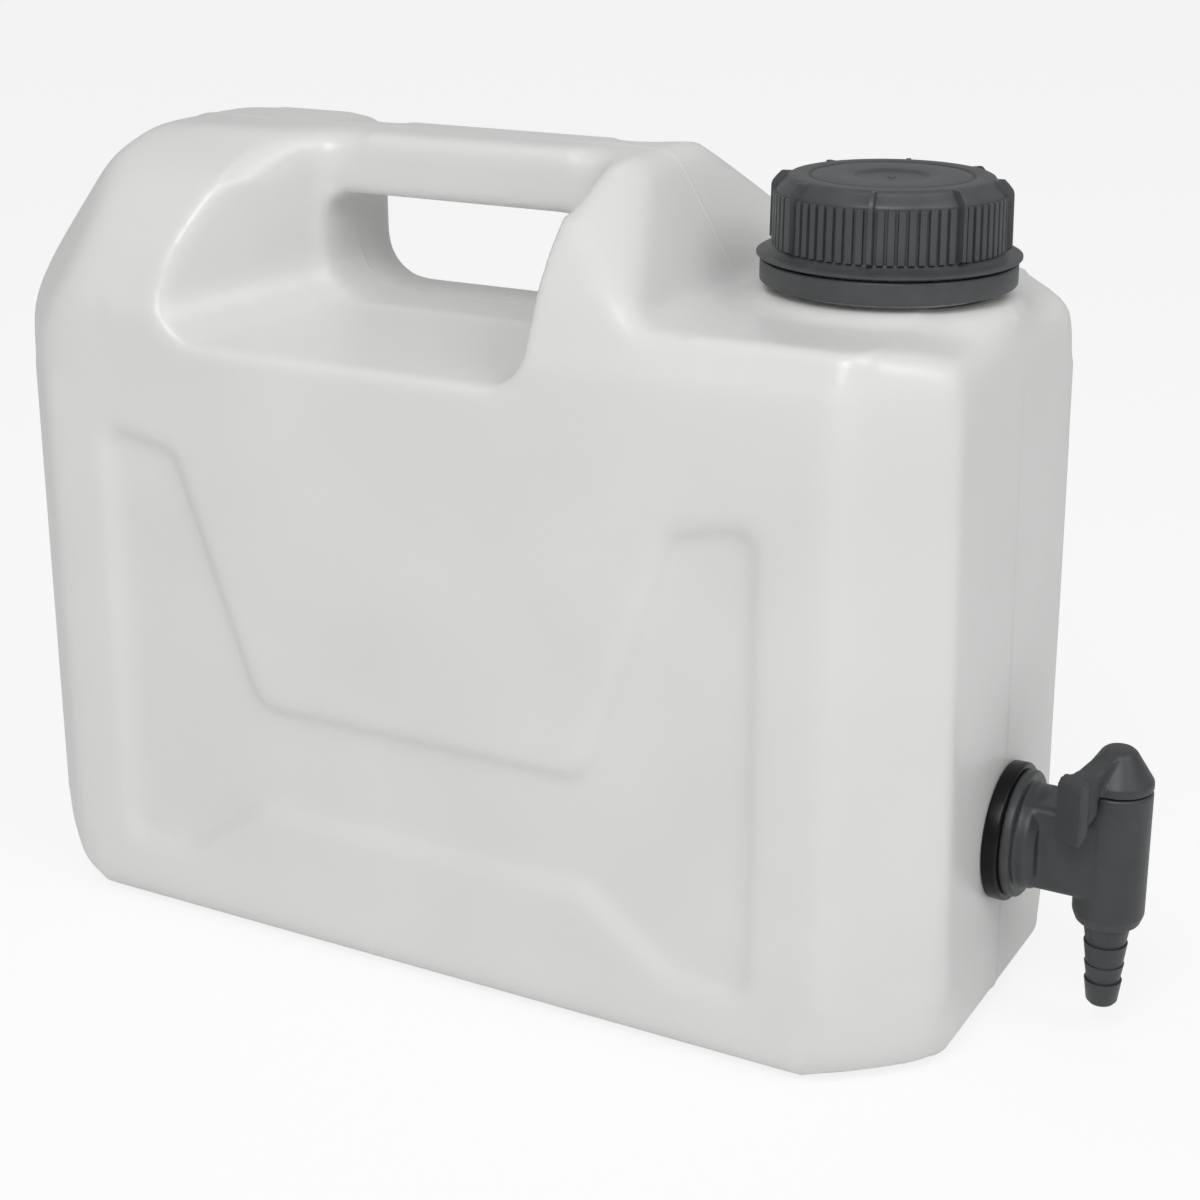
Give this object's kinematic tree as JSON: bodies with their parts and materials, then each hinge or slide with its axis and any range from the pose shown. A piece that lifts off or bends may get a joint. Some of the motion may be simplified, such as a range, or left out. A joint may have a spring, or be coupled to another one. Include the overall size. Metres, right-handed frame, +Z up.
{
  "type": "jerrycan with tap",
  "caption": "Rectangular plastic jerrycan with a through handle, ribbed screw cap, tamper ring and a barbed rotary draw-off tap.",
  "frame": {"origin": "centre of the can's footprint, on the surface it stands on", "axes": "+X towards the tap end, +Y to the back, +Z up"},
  "size_m": [0.3121, 0.1234, 0.2155],
  "materials": {
    "can_polyethylene": "natural translucent polyethylene, satin",
    "closure_plastic": "dark grey, fine matt",
    "tap_plastic": "dark grey, fine matt",
    "black_rubber": "glossy black rubber",
    "liner_foam": "white foamed polyethylene"
  },
  "bodies": {
    "can": {"can_body": "can_polyethylene", "tamper_ring": "closure_plastic", "tap_body": "tap_plastic", "tap_gasket": "black_rubber", "tap_washer": "black_rubber", "lock_nut": "tap_plastic"},
    "cap_carrier": {"cap_liner": "liner_foam"},
    "cap": {"screw_cap": "closure_plastic"},
    "key": {"tap_key": "tap_plastic", "key_oring_upper": "black_rubber", "key_oring_lower": "black_rubber"}
  },
  "joints": [
    {"name": "cap_lift", "type": "slide", "parent": "can", "child": "cap_carrier", "axis": [0, 0, 1], "range_m": [0, 0.00751]},
    {"name": "cap_turn", "type": "hinge", "parent": "cap_carrier", "child": "cap", "pos_m": [0.1005, 0, 0.2], "axis": [0, 0, 1], "range_deg": [0, 450]},
    {"name": "tap_turn", "type": "hinge", "parent": "can", "child": "key", "pos_m": [0.16529, 0, 0.0506], "axis": [0, 0, 1], "range_deg": [0, 90]}
  ],
  "couplings": [
    {"joint": "cap_lift", "follows": "cap_turn", "m_per_rad": 0.00095493}
  ]
}
